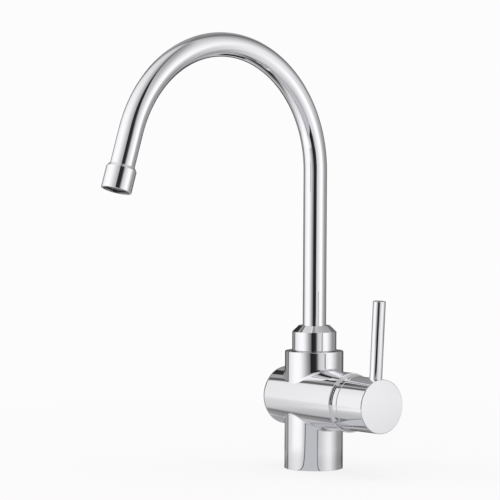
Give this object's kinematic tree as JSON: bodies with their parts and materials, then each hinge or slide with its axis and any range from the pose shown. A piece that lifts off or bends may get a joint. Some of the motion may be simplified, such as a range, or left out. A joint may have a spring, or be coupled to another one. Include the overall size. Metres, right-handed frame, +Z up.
{
  "type": "cold water tap",
  "caption": "Chromed kitchen tap with a tall swan-neck spout that swivels on its column and a quarter-turn lever on the end of a cross barrel.",
  "frame": {"origin": "centre of the column's foot, on the surface that the tap stands on", "axes": "+Z up along the column; +X along the barrel towards the lever handle; the spout points close to -Y, which is the front"},
  "size_m": [0.1321, 0.2526, 0.3672],
  "materials": {
    "chrome": "polished chrome plate on brass",
    "bare_brass": "machined, unplated",
    "black_rubber": "smooth moulded rubber",
    "ceramic": "lapped ceramic",
    "white_plastic": "moulded acetal",
    "grey_plastic": "moulded glass-filled plastic",
    "stainless_steel": "plain stainless steel"
  },
  "bodies": {
    "body": {"tap_body": "chrome", "base_gasket": "black_rubber", "spout_collar": "chrome", "spout_lower_slip_ring": "white_plastic", "spout_upper_slip_ring": "white_plastic", "cartridge_base": "grey_plastic", "cartridge_port_seals": "black_rubber", "fixed_disc": "ceramic", "cartridge_housing": "grey_plastic", "cartridge_nut": "bare_brass", "cover_ring": "chrome", "cover_ring_o_ring": "black_rubber"},
    "spout": {"spout_tube": "chrome", "spout_spigot": "bare_brass", "spout_o_rings": "black_rubber", "outlet_sleeve": "chrome", "aerator_washer": "black_rubber", "aerator_housing": "white_plastic", "aerator_filter": "stainless_steel", "aerator_insert": "white_plastic", "aerator_screen": "stainless_steel"},
    "handle": {"handle_cap": "chrome", "handle_lever": "chrome", "handle_grub_screw": "stainless_steel", "cartridge_stem": "bare_brass", "stem_o_rings": "black_rubber", "stem_thrust_washer": "white_plastic", "disc_driver": "white_plastic", "moving_disc": "ceramic"}
  },
  "joints": [
    {"name": "spout_swivel", "type": "hinge", "parent": "body", "child": "spout", "pos_m": [0, 0, 0.113], "axis": [0, 0, 1], "continuous": true},
    {"name": "handle_turn", "type": "hinge", "parent": "body", "child": "handle", "pos_m": [0.0784, -0.0035, 0.0604], "axis": [1, 0, 0], "range_deg": [0, 90]}
  ]
}
